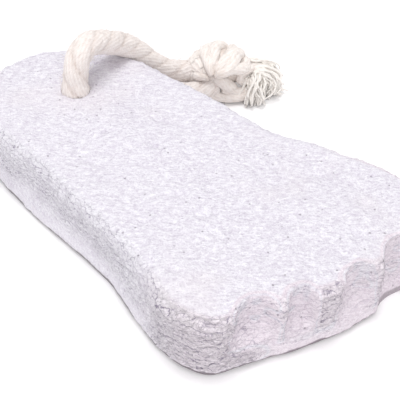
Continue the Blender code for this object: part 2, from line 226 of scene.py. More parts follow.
def stone_block():
    """Rows round the wall from the underside's edge to the top's, with the top filled in by a
    grid and the underside by one flat face."""
    low = np.radians([0, 30, 60, 90])
    high = np.radians(np.linspace(0, 90, RIM_ROWS))
    levels = [(FOOT_ROUNDING * (1 - math.sin(a)), FOOT_ROUNDING * (1 - math.cos(a)))
              for a in low]
    levels += [(0.0, z) for z in
               np.linspace(FOOT_ROUNDING, THICKNESS - TOP_ROUNDING, WALL_ROWS)[1:-1]]
    levels += [(TOP_ROUNDING * (1 - math.cos(a)), THICKNESS - TOP_ROUNDING * (1 - math.sin(a)))
               for a in high]
    ring = outline_ring()
    rows = [wall_row(ring, inset, z) for inset, z in levels]
    around, last = len(rows[0]), (len(rows) - 1) * len(rows[0])
    top = filled(rows[-1])[1:-1, 1:-1].reshape(-1, 3)
    step, up = np.arange(around), np.arange(len(rows) - 1)[:, None] * around
    after = np.roll(step, -1)
    wall = np.stack([up + step, up + after, up + around + after, up + around + step],
                    axis=-1).reshape(-1, 4)
    return np.vstack(rows + [top]), [wall, filled_faces(last, last + around), step[None, ::-1]]


def lattice_hash(cell, seed):
    """A number from 0 to 1 for each whole-numbered cell: its three coordinates are mixed
    with large odd factors and shifts."""
    x, y, z = (cell[..., k].astype(np.int64) for k in range(3))
    h = (x * 374761393 + y * 668265263 + z * 1440662683 + seed * 1274126177) & 0xFFFFFFFF
    h = ((h ^ (h >> 13)) * 1274126177) & 0xFFFFFFFF
    h = ((h ^ (h >> 16)) * 2246822519) & 0xFFFFFFFF
    return ((h ^ (h >> 15)) & 0xFFFFFF) / float(0x1000000)


def cloudy(points, cell, seed):
    """Smooth noise from -1 to 1: random values at the corners of cubes, eased between."""
    where = np.asarray(points) / cell
    base = np.floor(where)
    part = where - base
    part = part * part * (3 - 2 * part)
    total = 0.0
    for corner in np.ndindex(2, 2, 2):
        weight = np.prod(np.where(corner, part, 1 - part), axis=-1)
        total = total + weight * lattice_hash(base + corner, seed)
    return 2 * total - 1


def grains(points, cell, seed):
    """Distance to the nearest of the points scattered one to each cube of a lattice, in cell
    sizes."""
    where = np.asarray(points) / cell
    base = np.floor(where)
    nearest = np.full(len(where), 9.0)
    for offset in np.ndindex(3, 3, 3):
        cube = base + np.array(offset) - 1
        centre = cube + np.stack([lattice_hash(cube, seed + k) for k in range(3)], axis=-1)
        nearest = np.minimum(nearest, np.linalg.norm(where - centre, axis=-1))
    return nearest


def lumps(points):
    """Low swellings: plane waves in random directions, added up."""
    rng = np.random.RandomState(STONE_SEED)
    aim = rng.normal(size=(WAVES, 3))
    aim /= np.linalg.norm(aim, axis=1)[:, None]
    length = rng.uniform(9.0, 26.0, WAVES)
    phase = rng.uniform(0, 2 * math.pi, WAVES)
    return 0.07 * np.sin(2 * math.pi * (points @ aim.T) / length + phase).sum(axis=1)


def pits(points):
    """Shallow round pits at random places on the top and round the walls: depth times
    (1 - (distance / radius)^2)^2."""
    rng = np.random.RandomState(STONE_SEED + 1)
    low, high = points.min(axis=0), points.max(axis=0)
    top = np.column_stack([rng.uniform(low[:2], high[:2], (TOP_PITS, 2)),
                           np.full(TOP_PITS, THICKNESS)])
    outline = smooth_curve(OUTLINE, closed=True)[:, :2]
    wall = np.column_stack([outline[rng.randint(0, len(outline), WALL_PITS)],
                            rng.uniform(4.0, THICKNESS - 3.0, WALL_PITS)])
    centres = np.vstack([top, wall])
    radius = rng.uniform(1.3, 2.3, len(centres))
    depth = rng.uniform(0.25, 0.6, len(centres))
    sunk = np.zeros(len(points))
    for centre, reach, deep in zip(centres, radius, depth):
        gap = np.linalg.norm(points - centre, axis=1) / reach
        sunk = np.maximum(sunk, deep * np.clip(1 - gap**2, 0, 1)**2)
    return sunk


def scoop_at(points):
    """How far inside a ground scoop the points lie, from 0 to 1: eased over two millimetres
    at its curve, whose border noise makes waver, and over the height at which it runs out."""
    inside = np.zeros(len(points))
    waver = 0.7 * cloudy(points, 2.6, 71)
    for x, y, radius, runs_out, over in SCOOPS:
        gap = np.hypot(points[:, 0] - x, points[:, 1] - y) - radius + waver
        reach = ease(runs_out - over, runs_out, points[:, 2] / THICKNESS)
        inside = np.maximum(inside, ease(1.5, -0.4, gap) * reach)
    return inside


def ledge_strength(points, normals):
    """How strongly the ledges show: most at the little toe's corner, less on the toes and the
    upper walls, down to a border that noise makes waver, about half of that in the scoops,
    and not at all on the flat top."""
    x, y, z = points.T
    wall = 1 - ease(0.72, 0.97, normals[:, 2])
    corner = ease(19.0, 8.0, np.hypot(x - LITTLE_TOE[0], y - LITTLE_TOE[1])) * ease(0.2, 1.8, z)
    toes = ease(-37.0, -44.0, y) * ease(1.0, 5.5, z + 2.6 * cloudy(points, 5.0, 61)) * 0.85
    side = ease(4.0, 10.5, z + 2.4 * cloudy(points, 7.0, 62)) * 0.62
    return np.maximum(corner, np.maximum(toes, side)) * wall * (1 - 0.45 * scoop_at(points))


def skin_roughness(points, normals):
    """How rough the skin is: 1 on the upper walls and at the little toe's corner, 0.2 where
    it was ground smooth, in the scoops and round the foot of the walls, with a wavering
    border between the two, and TOP_ROUGHNESS on the top."""
    x, y, z = points.T
    ground = scoop_at(points)
    upper = ease(2.5, 9.5, z + 1.6 * cloudy(points, 8.0, 51) + 0.7 * cloudy(points, 3.0, 52))
    corner = ease(16.0, 9.0, np.hypot(x - LITTLE_TOE[0], y - LITTLE_TOE[1])) * ease(0.5, 2.5, z)
    wall = np.maximum(upper, corner) * (1 - ground)
    top = ease(0.55, 0.95, normals[:, 2]) * (1 - ground)
    return TOP_ROUGHNESS * top + (1 - top) * (0.20 + 0.80 * wall)


def pumice_relief(points, normals):
    """How far the worn, crumbly skin stands out from the plain block: lumps less pits, an
    uneven foot, round crumbs and ripples, coarser clods where it is rough and along the rim,
    and overlapping ledges, each standing out most at its lower lip. A crumb or clod is 1 less
    the squared distance from its middle. The ledges are counted along a line that dips towards
    the toes and wavers by noise, and the lip is 1 less the fraction of the count."""
    x, y, z = points.T
    rough = skin_roughness(points, normals)
    crumbs = np.clip(1 - 1.3 * grains(points, CRUMB, 5)**2, -0.3, 1)
    clods = np.clip(1 - 1.2 * grains(points + 3.0, CLOD, 17)**2, -0.2, 1)
    rim = ease(0.15, 0.55, normals[:, 2]) * ease(0.998, 0.93, normals[:, 2])
    count = ((z + 0.12 * x - 0.10 * y) / LEDGE + 0.95 * cloudy(points, 4.0, 31)
             + 0.45 * cloudy(points, 1.7, 32))
    step = count - np.floor(count)
    lip = (1 - step) * ease(0.0, 0.15, step)
    ripple = 0.10 * cloudy(points, 2.2, 41) + 0.08 * cloudy(points, 0.9, 42)
    foot = (0.30 * cloudy(points, 3.2, 81) + 0.16 * cloudy(points, 1.3, 82)) * ease(3.0, 0.5, z)
    return (lumps(points) - pits(points) + foot + (0.16 * crumbs + ripple) * (0.3 + 0.7 * rough)
            + 0.28 * (np.clip(rough - 0.2, 0, 1) + 0.7 * rim) * clods
            + 0.5 * lip * ledge_strength(points, normals))


class Wire:
    """A socket in a material's node tree. Arithmetic on it adds Math nodes, and add() adds
    any other node: its kind, its settings, then the values or wires of its inputs."""

    def __init__(self, tree, socket=None):
        self.tree, self.socket = tree, socket

    def add(self, kind, settings=None, inputs=None):
        node = self.tree.nodes.new("ShaderNode" + kind)
        for key, value in (settings or {}).items():
            setattr(node, key, value)
        for key, value in (inputs or {}).items():
            if isinstance(value, Wire):
                self.tree.links.new(value.socket, node.inputs[key])
            else:
                node.inputs[key].default_value = value
        return Wire(self.tree, node.outputs[0]) if len(node.outputs) else Wire(self.tree)

    def output(self, number):
        """Another output of the node that this wire comes from."""
        return Wire(self.tree, self.socket.node.outputs[number])

    def maths(self, operation, *values):
        return self.add("Math", {"operation": operation}, dict(enumerate(values)))

    def __add__(self, other):
        return self.maths("ADD", self, other)

    def __radd__(self, other):
        return self.maths("ADD", other, self)

    def __sub__(self, other):
        return self.maths("SUBTRACT", self, other)

    def __rsub__(self, other):
        return self.maths("SUBTRACT", other, self)

    def __mul__(self, other):
        return self.maths("MULTIPLY", self, other)

    def __rmul__(self, other):
        return self.maths("MULTIPLY", other, self)

    def eased(self, low, high):
        """0 below low, 1 above high, and smooth between."""
        return self.add("MapRange", {"interpolation_type": "SMOOTHSTEP"},
                        {"Value": self, "From Min": low, "From Max": high})

    def mixed(self, plain, other):
        """A colour, going from plain to other as this value goes from 0 to 1."""
        return self.add("Mix", {"data_type": "RGBA"}, {0: self, 6: plain, 7: other}).output(2)


def material_tree(name):
    """A new material with nothing in its tree, and a wire to begin from."""
    made = bpy.data.materials.new(name)
    made.use_nodes = True
    made.node_tree.nodes.clear()
    return made, Wire(made.node_tree)


def finish_material(wire, colour, roughness, normal=None, **fixed):
    """The shader and the output: wires for what varies, and plain numbers for the rest."""
    inputs = {"Base Color": colour, "Roughness": roughness}
    if normal is not None:
        inputs["Normal"] = normal
    inputs.update({key.replace("_", " "): value for key, value in fixed.items()})
    shader = wire.add("BsdfPrincipled", None, inputs)
    wire.add("OutputMaterial", None, {"Surface": shader})


PALE, PALE_TOES = (0.878, 0.872, 0.907, 1), (0.89, 0.84, 0.885, 1)
SHADED, SHADED_TOES = (0.53, 0.48, 0.57, 1), (0.56, 0.465, 0.54, 1)
# The second colour here is painted shade inside the pores.
WARM_CLOUD, PORE_SHADE = (0.75, 0.70, 0.73, 1), (0.36, 0.31, 0.37, 1)
# Painted shade under the overhanging lips of the flakes, and a painted contact shadow round the
# foot.
OVERHANG_SHADE, CONTACT_SHADOW_DARK = (0.27, 0.23, 0.32, 1), (0.20, 0.17, 0.19, 1)
SAW_HEADING = math.radians(-46)     # of the fine streaks across the sawn top


def pumice_material():
    """Pale lilac-white crumb, pinker on the walls of the toes: bright specks and small dents of
    every size below a millimetre, their light and shade partly painted into the colour with the
    same noise as the bumps, short wavering streaks left by the saw, a scatter of pores with
    painted shade inside them, broad faint clouds, and a painted contact shadow in the line round
    the foot.
    The rough walls and the scoops are painted darker, as shade. The walls are broken into small
    overlapping flakes, each hollow along its upper side, where the next one overhangs it, with
    painted shade there. The map "flakes" holds how strongly these show and where a scoop was
    ground. The map "skin" holds how rough the skin is and its height over the ground in
    millimetres."""
    made, start = material_tree("pumice")
    where = start.add("TexCoord").output(3)
    flaky = start.add("SeparateXYZ", None, {0: start.add("UVMap", {"uv_map": "flakes"})})
    scooped = flaky.output(1)
    rough = start.add("SeparateXYZ", None, {0: start.add("UVMap", {"uv_map": "skin"})})
    height = rough.output(1)

    def noise(scale, detail=2.0, roughness=0.5, place=where):
        return start.add("TexNoise", None, {"Vector": place, "Scale": scale, "Detail": detail,
                                            "Roughness": roughness})

    def shifted(place, wander, reach):
        """The place, moved by a colour times a length along each axis."""
        return start.add("VectorMath", {"operation": "MULTIPLY_ADD"},
                         {0: wander, 1: (reach, reach, reach), 2: place})

    def flakes(wide, high, bend):
        """Painted shade along the upper edge of flakes of this size in millimetres, where the
        flake above overhangs, and how far down in its flake a place lies: cells squashed in
        height, with their places bent by noise."""
        cell = start.add("Mapping", None, {"Vector": where,
                                           "Scale": (1000 / wide, 1000 / wide, 1000 / high)})
        bent = shifted(cell, noise(620.0).output(1), bend)
        centre = start.add("TexVoronoi", None, {"Vector": bent, "Scale": 1.0}).output(2)
        away = start.add("VectorMath", {"operation": "SUBTRACT"}, {0: bent, 1: centre})
        up = start.add("SeparateXYZ", None, {0: away}).output(2)
        edge = start.add("TexVoronoi", {"feature": "DISTANCE_TO_EDGE"},
                         {"Vector": bent, "Scale": 1.0})
        return (1 - edge.eased(0.03, 0.14)) * up.eased(0.08, 0.28), 0.5 - up

    astray = shifted(where, noise(420.0, 1.0).output(1), 0.0013)
    sawn = start.add("Mapping", {"vector_type": "TEXTURE"}, {
        "Vector": astray, "Scale": (2.2, 0.8, 1.0), "Rotation": (0, 0, SAW_HEADING)})
    streaks = noise(1300.0, 2.0, 0.75, sawn)
    fine = noise(2100.0, 2.0, 1.0)
    crumb = noise(900.0, 2.0, 0.8)
    patchy = noise(210.0).eased(0.38, 0.60)
    broad = noise(150.0, 3.0, 0.6)
    clouds = noise(45.0)
    large_overhang_shade, large_down = flakes(2.6, 1.4, 0.9)
    small_overhang_shade, small_down = flakes(1.5, 0.9, 0.8)
    coarse = flaky.eased(0.60, 0.95)
    # Painted shade: a dark line under the overhanging lip of each flake.
    overhang_shade = (large_overhang_shade * (0.35 + patchy * 0.65) * (0.35 + coarse * 0.75)
              + small_overhang_shade * (1 - patchy * 0.6) * (1 - coarse * 0.45)) * flaky.eased(0.0, 0.80)
    # Pores: round dips in the bump, with painted shade inside them.
    pore_cells = start.add("TexVoronoi", None, {"Vector": where, "Scale": 430.0})
    chosen = start.add("SeparateColor", None, {0: pore_cells.output(1)})
    pore = (1 - pore_cells.eased(0.05, 0.12)) * chosen.eased(0.35, 0.45)

    ground = rough.eased(0.34, 0.16)
    beside_top = rough - TOP_ROUGHNESS
    walls = beside_top.maths("ABSOLUTE", beside_top).eased(0.0, 0.12)
    # The specks and dents are lighter and darker with the same noise that raises and sinks the
    # bumps, so they are partly the crumb's own tone and partly painted light and shade; deep is
    # painted shade in the dents.
    speckle_tone_and_shade = (fine.eased(0.68, 0.32) * (0.36 + walls * 0.14) + crumb.eased(0.62, 0.36) * 0.14
            + streaks.eased(0.66, 0.36) * (0.38 - walls * 0.20)) * (1 - ground * 0.2 - flaky * 0.5)
    deep = fine.eased(0.44, 0.28) * 0.5 + crumb.eased(0.42, 0.32) * 0.5
    # Painted shade: the rough walls and the little toe's corner are darker than the top, and the
    # scoops darker again.
    shade = (speckle_tone_and_shade + deep * rough * 0.14 + broad.eased(0.52, 0.34) * (0.01 + rough * 0.08)
             + ground * 0.03 + scooped * 0.14 + rough.eased(0.45, 1.0) * 0.07)
    along = start.add("SeparateXYZ", None, {0: where}).output(1)
    pinker = along.eased(-0.018, -0.042) * walls
    base = shade.mixed(pinker.mixed(PALE, PALE_TOES), pinker.mixed(SHADED, SHADED_TOES))
    tinted = (clouds.eased(0.55, 0.75) * 0.35).mixed(base, WARM_CLOUD)
    pore_shaded = (pore * 0.5).mixed(tinted, PORE_SHADE)
    overhang_shaded = (overhang_shade * 0.80).mixed(pore_shaded, OVERHANG_SHADE)
    # A painted contact shadow: darkest in the lowest millimetre of the foot, wavering by broad
    # noise, a little weaker under the scoops.
    contact_shadow = (height + (broad - 0.5) * 1.8).eased(1.25, 0.80)
    colour = (contact_shadow * (0.85 - scooped * 0.25)).mixed(overhang_shaded, CONTACT_SHADOW_DARK)
    bumps = ((fine * 0.5 + crumb * 0.7 + streaks * 0.9) * (0.5 + rough * 0.7) + broad * 0.7
             - pore * 0.5 + (large_down * (0.5 + coarse * 0.9) + small_down * 0.8) * flaky)
    normal = start.add("Bump", None, {"Strength": 1.0, "Distance": 0.0006, "Height": bumps})
    finish_material(start, colour, 0.95, normal, Specular_IOR_Level=0.25)
    return made


def turned_cutter(name, profile, segments=48):
    """A closed solid turned about the Z axis: rings of (radius, z) pairs, lowest first."""
    angle = np.linspace(0, 2 * math.pi, segments, endpoint=False)
    radius, z = np.array(profile).T[..., None]
    points = np.stack([radius * np.cos(angle), radius * np.sin(angle), z + 0 * angle], axis=-1)
    step, after = np.arange(segments), np.roll(np.arange(segments), -1)
    up = np.arange(len(profile) - 1)[:, None] * segments
    side = np.stack([up + step, up + after, up + segments + after, up + segments + step],
                    axis=-1).reshape(-1, 4)
    top = (len(profile) - 1) * segments
    return put_mesh(name, points.reshape(-1, 3), [side, step[None, ::-1], (top + step)[None]])


def cut_through(piece, cutters):
    """Takes the cutters out of the piece, keeps the result as its mesh and drops them."""
    for cutter in cutters:
        cut = piece.modifiers.new(cutter.name, "BOOLEAN")
        cut.operation, cut.solver, cut.object = "DIFFERENCE", "EXACT", cutter
    bpy.context.view_layer.update()
    settled = piece.evaluated_get(bpy.context.evaluated_depsgraph_get())
    kept, old = bpy.data.meshes.new_from_object(settled), piece.data
    piece.modifiers.clear()
    piece.data = kept
    bpy.data.meshes.remove(old)
    for cutter in cutters:
        bpy.data.objects.remove(cutter)


def put_map(piece, name, values):
    """Stores a pair of values for each point as the mesh's own map."""
    layer = piece.data.uv_layers.new(name=name)
    corner = np.empty(len(piece.data.loops), np.int32)
    piece.data.loops.foreach_get("vertex_index", corner)
    layer.data.foreach_set("uv", values[corner].astype(np.float32).ravel())


stone = put_mesh("stone", *stone_block(), finish=pumice_material())
spots, facing = (np.empty(len(stone.data.vertices) * 3) for _ in range(2))
stone.data.vertices.foreach_get("co", spots)
stone.data.vertices.foreach_get("normal", facing)
spots, facing = spots.reshape(-1, 3) / MM, facing.reshape(-1, 3)
put_map(stone, "flakes", np.stack([ledge_strength(spots, facing), scoop_at(spots)], axis=-1))
put_map(stone, "skin", np.stack([skin_roughness(spots, facing), spots[:, 2]], axis=-1))
relief = pumice_relief(spots, facing) * ease(-0.9, 1.4, spots[:, 2])
# The flat underside and the first turn of its edge keep their places, and the walls near it
# move only sideways, so that the stone still lies flat.
relief[spots[:, 2] + 2 * facing[:, 2] < -1.5] = 0
facing[:, 2] *= ease(0.2, 1.2, spots[:, 2])
stone.data.vertices.foreach_set("co", ((spots + facing * relief[:, None]) * MM).ravel())
stone.data.update()
hole = turned_cutter("hole", [
    (HOLE_RADIUS + 2.6, -3.0), (HOLE_RADIUS + 2.4, 3.0), (HOLE_RADIUS + 1.9, 6.0),
    (HOLE_RADIUS, 11.0), (HOLE_RADIUS, THICKNESS - 1.2), (HOLE_RADIUS + 0.1, THICKNESS),
    (HOLE_RADIUS + 0.3, THICKNESS + 2.0)])
hole.location = (HOLE_X * MM, HOLE_Y * MM, 0)
channel = turned_cutter("channel", [(CHANNEL_RADIUS, 0.0), (CHANNEL_RADIUS, CHANNEL_LENGTH)])
channel.location = (HOLE_X * MM, HOLE_Y * MM, CHANNEL_AXIS_Z * MM)
channel.rotation_euler = (0, math.pi / 2, CHANNEL_HEADING)
cut_through(stone, [hole, channel])
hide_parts("pumice_stone")
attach(stone, "root")


# ---- The rope ---------------------------------------------------------------------------------
# Soft cotton rope laid from three strands of many loose yarns. It runs from the knot up over
# the edge of the heel, down through the hole and back to the knot in the channel underneath.
ROPE_DIAMETER = 6.5
ROPE_ROUTE = [
    (37.4, 30.6, 7.3), (35.4, 32.1, 7.6), (33.0, 33.6, 8.8), (30.2, 35.0, 11.0),
    (27.4, 36.2, 14.2), (24.5, 36.8, 17.3), (20.7, 36.9, 20.4), (16.9, 36.7, 22.7),
    (12.9, 36.2, 24.9), (9.1, 35.8, 26.6), (5.7, 35.2, 27.3), (3.1, 34.7, 26.1),
    (1.5, 34.3, 23.3), (0.8, 34.0, 19.6), (0.7, 34.0, 14.0), (0.9, 34.0, 9.0),
    (2.0, 33.9, 5.4), (5.2, 33.7, 3.4), (10.5, 33.3, 3.05), (17.0, 32.6, 3.05),
    (24.0, 31.0, 3.1), (29.5, 28.6, 3.5), (34.0, 25.6, 3.7), (37.0, 24.0, 3.7),
]
ROPE_INTO_KNOT = [(42.4, 27.4, 7.2)], [(42.0, 22.4, 4.6)]
ROPE_PITCH = -19.0                  # length of one full turn of the strands, left-handed
# In the channel the rope is pressed to a share of its width: fully below one height and up to
# one x, and not at all above another height. In the hole it swells by a share of its width.
PRESSED, PRESSED_BELOW, FREE_ABOVE, PRESSED_WITHIN_X = 0.84, 5.0, 9.0, 26.0
SWOLLEN = 0.13
FIBRE_SLANT = 0.62                  # how far the fibres turn round for each length along
LOOSE_FIBRES = 420                  # on the rope, and as many on the knot
FIBRE_ROWS, FIBRE_SEGMENTS = 7, 4
# The second colour serves the cotton's browner fibres and its painted shade.
ROPE_PALE, ROPE_BROWN_AND_SHADE = (0.94, 0.88, 0.85), (0.62, 0.50, 0.44)


def along_path(path):
    """Tangents of paths given as (..., points, 3), and two directions across each."""
    tangent = np.gradient(path, axis=-2)
    tangent /= np.linalg.norm(tangent, axis=-1, keepdims=True)
    lean = np.where(np.abs(tangent[..., 1:2]) < 0.9, (0.0, 1.0, 0.0), (1.0, 0.0, 0.0))
    side = lean - tangent * (lean * tangent).sum(axis=-1, keepdims=True)
    side /= np.linalg.norm(side, axis=-1, keepdims=True)
    return tangent, side, np.cross(tangent, side)


def tube_faces(rows, segments, count):
    """Faces of count tubes, each numbered as its first pole, its rows and its last pole."""
    step, after = np.arange(segments), np.roll(np.arange(segments), -1)
    up = 1 + np.arange(rows - 1)[:, None] * segments
    side = np.stack([up + step, up + after, up + segments + after, up + segments + step],
                    axis=-1).reshape(-1, 4)
    last = 1 + (rows - 1) * segments
    first_cap = np.stack([0 * step, 1 + after, 1 + step], axis=-1)
    last_cap = np.stack([last + step, last + after, 0 * step + last + segments], axis=-1)
    shift = np.arange(count)[:, None, None] * (rows * segments + 2)
    return [(side + shift).reshape(-1, 4), (first_cap + shift).reshape(-1, 3),
            (last_cap + shift).reshape(-1, 3)]


def carried(path, radius, segments):
    """Points of tubes: a section carried along each path, its radius given for every row and
    angle, with a pole half a radius beyond both ends."""
    tangent, side, up = along_path(path)
    angle = np.linspace(0, 2 * math.pi, segments, endpoint=False)[:, None]
    radius = np.broadcast_to(radius, path.shape[:-1] + (segments,))[..., None]
    ring = path[..., None, :] + radius * (side[..., None, :] * np.cos(angle)
                                          + up[..., None, :] * np.sin(angle))
    flat = ring.reshape(*path.shape[:-2], -1, 3)
    first = path[..., :1, :] - tangent[..., :1, :] * (0.5 * radius[..., 0, :1, :])
    last = path[..., -1:, :] + tangent[..., -1:, :] * (0.5 * radius[..., -1, :1, :])
    return np.concatenate([first, flat, last], axis=-2)


def laid_section(run, angle, pitch):
    """Radius of a soft laid rope for an outer radius of 1, at each distance and angle, and
    how deep in a groove the place lies, from 0 to 1. Three strands turn once to a pitch. Each
    swells as the sine of its own share, which leaves narrow grooves where 1 less that sine is
    near 1, and yarns lie on it in the same way as fine ridges at a flatter slant."""
    turn = 3 * (angle / (2 * math.pi) - run / pitch)
    strand = np.abs(np.sin(math.pi * turn))
    yarn = np.abs(np.sin(math.pi * (7 * turn + 13 * run / pitch)))
    groove = (1 - strand)**2.5
    return 1 - 0.10 * groove - 0.055 * (1 - yarn)**1.5, 0.42 * groove + 0.35 * (1 - yarn)**2


def bundle_section(run, angle, yarns, pitch):
    """The same two values for a bundle of yarns lying side by side with hardly any twist, each
    swelling as the sine of its own share of the way round."""
    yarn = np.abs(np.sin(yarns * angle / 2 - math.pi * yarns * run / pitch))
    return 1 - 0.11 * (1 - yarn)**1.3, 0.8 * (1 - yarn)**2


def loose_fibres(paths, radius, count, seed):
    """Fine fibres that have worked loose from tubes on these paths. Each starts just under
    the surface at a random place, heads out and along, bends by the square of its share, bows
    out by half a sine and thins to its end; none goes below the ground."""
    rng = np.random.RandomState(seed)
    tangent, side, up = along_path(paths)
    at = rng.randint(0, paths.shape[0], count), rng.randint(3, paths.shape[1] - 3, count)
    angle = rng.uniform(0, 2 * math.pi, (count, 1))
    out = side[at] * np.cos(angle) + up[at] * np.sin(angle)
    start = paths[at] + out * (radius[at].mean(axis=-1)[:, None] - 0.15)
    aim = (out * rng.uniform(0.0, 0.32, (count, 1)) + tangent[at] * rng.normal(size=(count, 1))
           + np.cross(out, tangent[at]) * rng.normal(size=(count, 1)) * 0.5)
    aim /= np.linalg.norm(aim, axis=1)[:, None]
    share = np.linspace(0, 1, FIBRE_ROWS)[None, :, None]
    length = rng.uniform(1.0, 3.0, (count, 1, 1))
    bend = rng.normal(size=(count, 1, 3)) * 0.18
    path = (start[:, None] + (aim[:, None] * share + bend * share**2) * length
            + out[:, None] * 0.25 * np.sin(math.pi * share))
    path[..., 2] = np.maximum(path[..., 2], 0.2)
    thin = (rng.uniform(0.045, 0.08, (count, 1, 1)) * (1 - 0.5 * share)
            + np.zeros(FIBRE_SEGMENTS))
    return path, thin, 0 * thin


def cotton_material(name, pale, brown_and_shade):
    """Unbleached cotton: pale yarns with browner fibres along them, and painted shade in the
    gaps. The map "lay" runs along the rope and round it in millimetres. In the map "depth" the
    first value is how far the place lies in a groove or under its neighbours, and it is painted
    as shade."""
    made, start = material_tree(name)
    lay = start.add("UVMap", {"uv_map": "lay"})
    where = start.add("TexCoord").output(3)
    depth = start.add("SeparateXYZ", None, {0: start.add("UVMap", {"uv_map": "depth"})})
    lines = start.add("Mapping", None, {"Vector": lay, "Scale": (0.7, 5.5, 1.0)})
    fibres = start.add("TexNoise", None, {"Vector": lines, "Scale": 1.0, "Detail": 3.0,
                                          "Roughness": 0.65})
    soft = start.add("TexNoise", None, {"Vector": where, "Scale": 900.0, "Detail": 2.0})
    # Painted shade from the map "depth", in the grooves and under neighbouring yarns; the fibre
    # and soft noise give the cotton's own browner tone.
    shade = depth * 0.75 + fibres.eased(0.56, 0.34) * 0.30 + soft.eased(0.56, 0.34) * 0.14
    colour = shade.mixed((*pale, 1), (*brown_and_shade, 1))
    normal = start.add("Bump", None, {"Strength": 0.9, "Distance": 0.0003,
                                      "Height": fibres + soft * 0.5})
    finish_material(start, colour, 0.9, normal, Specular_IOR_Level=0.2, Sheen_Weight=0.3,
                    Sheen_Roughness=0.6)
    return made


def put_yarns(name, parts, finish, node):
    """One piece from several sets of closed tubes. A part holds paths given as (count, rows,
    3), the radius for every row and angle, and how deep each place lies, which the material
    paints as shade through the map "depth". The map "lay" is the distance run and the way round
    less FIBRE_SLANT times that distance."""
    points, lays, depths, faces, so_far = [], [], [], [], 0
    for paths, radius, depth in parts:
        count, rows, segments = radius.shape
        run = np.linalg.norm(np.diff(paths, axis=1), axis=-1).cumsum(axis=1)
        run = np.concatenate([np.zeros((count, 1)), run], axis=1)
        angle = np.linspace(0, 2 * math.pi, segments, endpoint=False)
        skew = angle * radius.mean(axis=2)[..., None] - FIBRE_SLANT * run[..., None]
        lay = np.stack(np.broadcast_arrays(run[..., None], skew), axis=-1)
        deep = np.stack([depth, 0 * depth], axis=-1)
        for values, kept in ((lay, lays), (deep, depths)):
            kept.append(np.concatenate([values[:, 0, :1], values.reshape(count, -1, 2),
                                        values[:, -1, :1]], axis=1).reshape(-1, 2))
        spots = carried(paths, radius, segments).reshape(-1, 3)
        faces += [group + so_far for group in tube_faces(rows, segments, count)]
        points.append(spots)
        so_far += len(spots)
    piece = put_mesh(name, np.vstack(points), faces, finish)
    put_map(piece, "lay", np.vstack(lays))
    put_map(piece, "depth", np.vstack(depths))
    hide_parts(node)
    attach(piece, "root")
    return piece


ROPE_ROWS, ROPE_SEGMENTS = 560, 96
loop_line = spread_evenly(smooth_curve(ROPE_INTO_KNOT[0] + ROPE_ROUTE + ROPE_INTO_KNOT[1]),
                          ROPE_ROWS - 1, measured=3)
loop_run = np.concatenate([[0.0], np.cumsum(np.linalg.norm(np.diff(loop_line, axis=0), axis=1))])
loop_x, loop_z = loop_line[:, 0], loop_line[:, 2]
under_stone = ((1 - ease(PRESSED_BELOW, FREE_ABOVE, loop_z))
               * (1 - ease(PRESSED_WITHIN_X, PRESSED_WITHIN_X + 6.0, loop_x)))
in_hole = ease(8.0, 12.0, loop_z) * ease(20.0, 17.2, loop_z) * (loop_x < 5.0)
loop_width = ROPE_DIAMETER / 2 * (1 - (1 - PRESSED) * under_stone + SWOLLEN * in_hole)
loop_angle = np.linspace(0, 2 * math.pi, ROPE_SEGMENTS, endpoint=False)
loop_shape, loop_depth = laid_section(loop_run[:, None], loop_angle, ROPE_PITCH)
loop_radius = (loop_shape * loop_width[:, None])[None]
rope = put_yarns("rope_loop", [(loop_line[None], loop_radius, loop_depth[None]),
                               loose_fibres(loop_line[None], loop_radius, LOOSE_FIBRES, 3)],
                 cotton_material("cotton_rope", ROPE_PALE, ROPE_BROWN_AND_SHADE), "rope")


# ---- The knot ---------------------------------------------------------------------------------
# The loop's two sides are drawn up in one overhand knot, where the rope has come half unlaid.
# Its strands spread over the top like the ribs of a shell from a place on the toes' side.
# Others pass along that side below them, and one of these turns back at the frayed ends.
KNOT_CENTRE = np.array([46.2, 24.2, 7.3])
KNOT_HEADING = math.radians(-27.0)
KNOT_AXES = np.array([[math.cos(KNOT_HEADING), math.sin(KNOT_HEADING), 0],
                      [-math.sin(KNOT_HEADING), math.cos(KNOT_HEADING), 0], [0, 0, 1]])
KNOT_HALF = np.array([8.4, 7.9, 6.3])        # along the rope, across it, and in height
GATHER = np.array([-0.58, -0.78, 0.23])      # where the ribs are drawn together
RIB_TURNS = np.radians([-112.0, -84.0, -58.0, -33.0, -9.0, 15.0, 40.0, 66.0])
RIB_ROWS, STRAND_ROWS, BUNDLE_SEGMENTS = 110, 170, 36
CORE_ROWS, CORE_RADIUS = 40, 5.6             # of the plain core that closes the gaps
# The second colour serves the cotton's browner fibres and its painted shade.
KNOT_PALE, KNOT_BROWN_AND_SHADE = (0.96, 0.905, 0.87), (0.70, 0.58, 0.50)

meridian = np.linspace(math.radians(7), math.radians(172), RIB_ROWS)
rib_up = np.array([0, 0, 1.0]) - GATHER * GATHER[2]
rib_up /= np.linalg.norm(rib_up)
rib_side = np.cross(GATHER, rib_up)
rib_rng = np.random.RandomState(4)
sway = rib_rng.uniform(-0.16, 0.16, (len(RIB_TURNS), 1)) * np.sin(3.1 * meridian)
rib_turn = RIB_TURNS[:, None] + sway
rib_aim = rib_up * np.cos(rib_turn)[..., None] - rib_side * np.sin(rib_turn)[..., None]
rib_unit = (GATHER * np.cos(meridian)[:, None] + rib_aim * np.sin(meridian)[:, None]
            + rib_rng.uniform(-0.10, 0.10, (len(RIB_TURNS), 1, 3)) * np.cos(meridian / 2)[:, None])
lift = 0.90 + rib_rng.uniform(-0.07, 0.05, (len(RIB_TURNS), 1)) + 0.03 * np.sin(2 * meridian)
rib_paths = (rib_unit * lift[..., None] * KNOT_HALF) @ KNOT_AXES + KNOT_CENTRE
